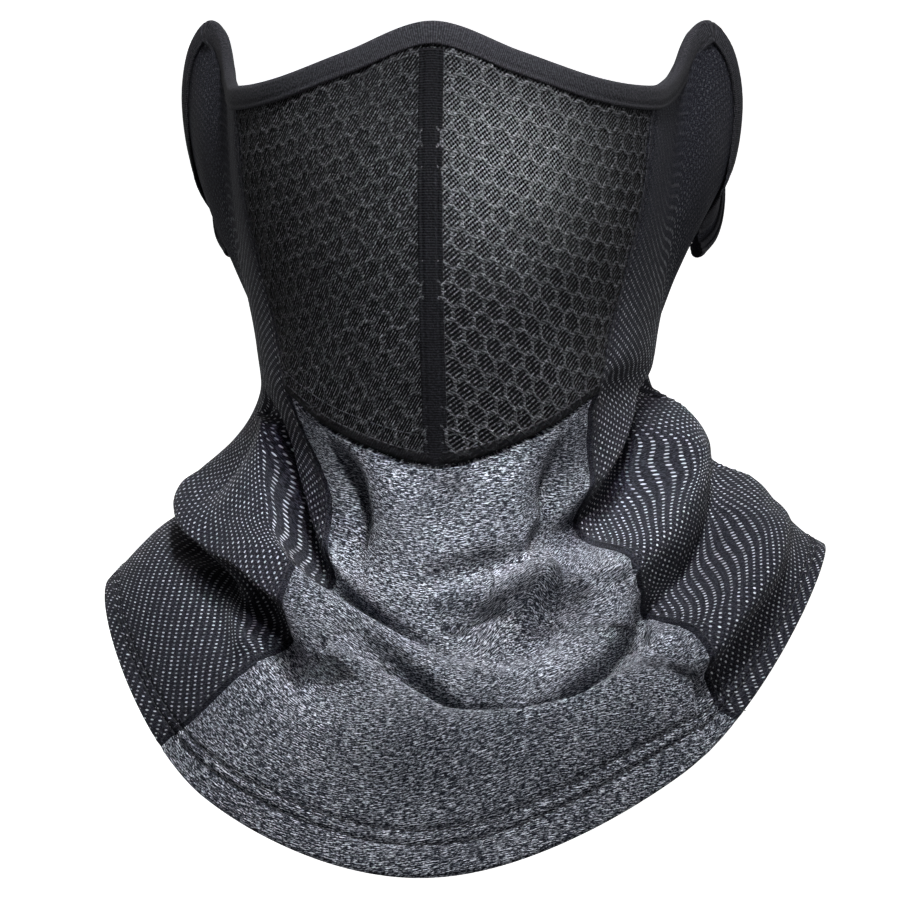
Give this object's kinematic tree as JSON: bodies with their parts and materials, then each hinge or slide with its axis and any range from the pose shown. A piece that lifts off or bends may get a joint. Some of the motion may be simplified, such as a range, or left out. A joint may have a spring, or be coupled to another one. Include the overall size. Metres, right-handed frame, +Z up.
{
  "type": "balaclava",
  "caption": "Half balaclava: breathable mesh mask over the nose and mouth, fleece neck tube with a flared bib hem, and stretch loops that hold it behind the ears.",
  "frame": {"origin": "middle of the neck opening, level with the narrowest part of the neck at the sides", "axes": "+Z up along the neck, -Y the way the wearer faces, +X to the wearer's left"},
  "size_m": [0.2481, 0.2203, 0.2909],
  "materials": {
    "spacer_mesh": "matt open honeycomb knit",
    "lining": "matt fine knit",
    "tape": "matt ribbed tape",
    "heather_fleece": "soft brushed melange jersey",
    "dotted_fleece": "smooth jersey with small pale dots",
    "binding": "smooth elastic binding",
    "thread": "twisted polyester thread"
  },
  "bodies": {
    "cover": {"mesh_panel_left": "spacer_mesh", "mesh_panel_right": "spacer_mesh", "mask_lining_left": "lining", "mask_lining_right": "lining", "nose_seam_tape": "tape", "front_neck_panel": "heather_fleece", "side_panel_left": "dotted_fleece", "side_panel_right": "dotted_fleece", "face_binding": "binding", "ear_rim_binding_left": "binding", "ear_rim_binding_right": "binding", "nape_binding": "binding", "chin_seam_thread": "thread", "mask_seam_thread_left": "thread", "mask_seam_thread_right": "thread", "front_seam_thread_left": "thread", "front_seam_thread_right": "thread", "back_seam_thread": "thread", "hem_turn_up": "dotted_fleece", "hem_thread": "thread"},
    "ear_loop_left": {"ear_loop_left": "dotted_fleece", "ear_loop_binding_left": "binding"},
    "ear_loop_right": {"ear_loop_right": "dotted_fleece", "ear_loop_binding_right": "binding"}
  },
  "joints": [
    {"name": "ear_loop_left_flex", "type": "hinge", "parent": "cover", "child": "ear_loop_left", "pos_m": [0.086, 0.017, 0.113], "axis": [-0.0874, 0.1602, -0.9832], "range_deg": [-10, 35], "stiffness_Nm_per_rad": 0.004},
    {"name": "ear_loop_right_flex", "type": "hinge", "parent": "cover", "child": "ear_loop_right", "pos_m": [-0.086, 0.017, 0.113], "axis": [-0.0874, -0.1602, 0.9832], "range_deg": [-10, 35], "stiffness_Nm_per_rad": 0.004}
  ]
}
